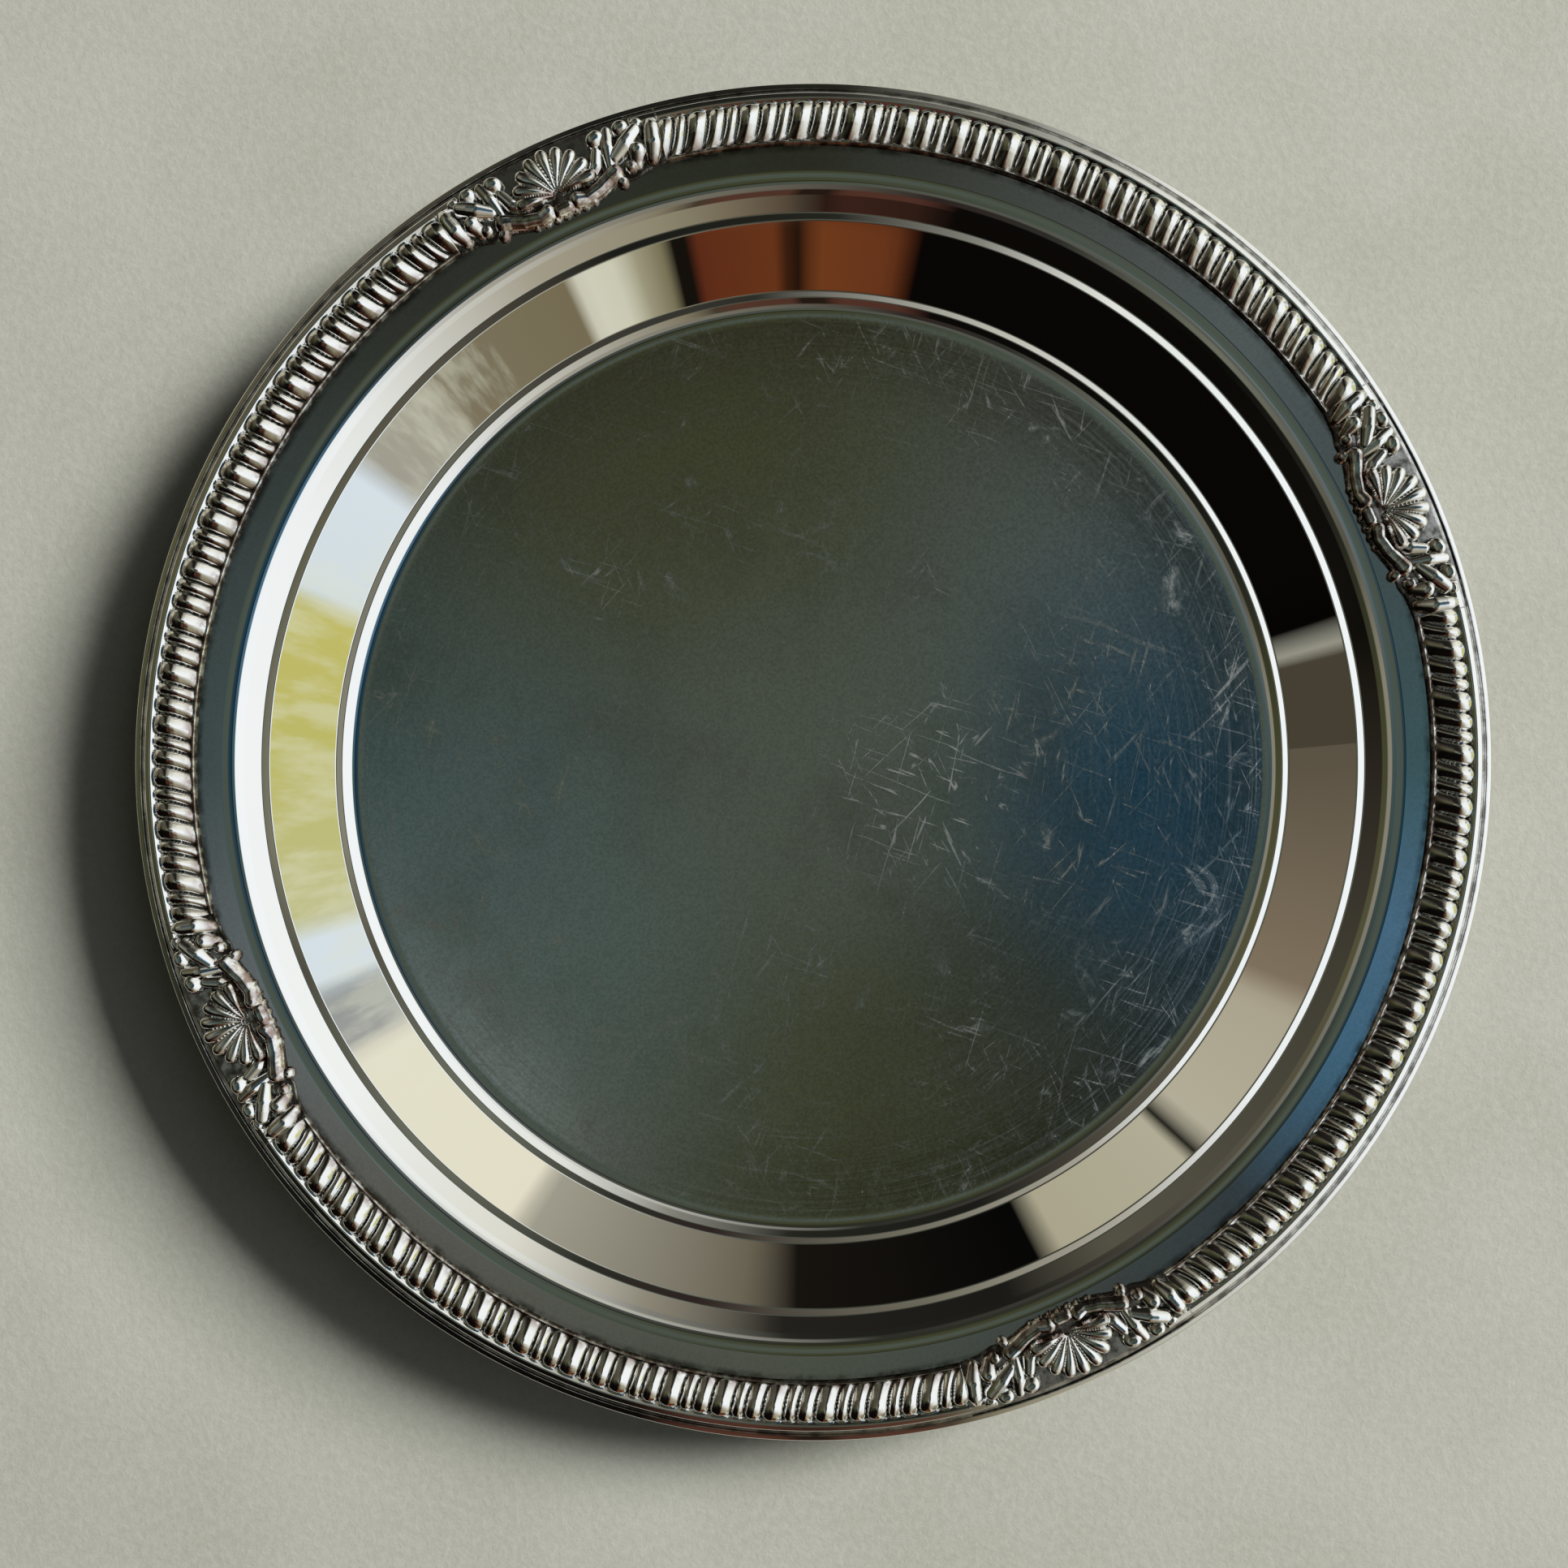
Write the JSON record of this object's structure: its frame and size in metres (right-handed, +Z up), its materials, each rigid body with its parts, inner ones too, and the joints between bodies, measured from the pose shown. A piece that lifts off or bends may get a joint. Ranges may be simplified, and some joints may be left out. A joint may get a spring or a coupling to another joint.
{
  "type": "coin tray",
  "caption": "Shallow round silver-plated tray with a flat floor, sloping wall, broad flat rim and a gadroon border with shell ornaments.",
  "frame": {"origin": "centre of the floor's underside, where the tray rests on the table", "axes": "+Z up along the tray's axis; one shell ornament stands towards each of +X, +Y, -X and -Y"},
  "size_m": [0.16, 0.16, 0.0125],
  "materials": {
    "sheet": "polished silver plate with fine wear scratches and light tarnish",
    "border": "polished silver plate, tarnished dark in its grooves",
    "ornament": "polished silver plate, tarnished dark in its hollows"
  },
  "bodies": {
    "root": {"dish": "sheet", "gadroon_strip_1": "border", "gadroon_strip_2": "border", "gadroon_strip_3": "border", "gadroon_strip_4": "border", "shell_ornament_1": "ornament", "shell_ornament_2": "ornament", "shell_ornament_3": "ornament", "shell_ornament_4": "ornament"}
  },
  "joints": []
}
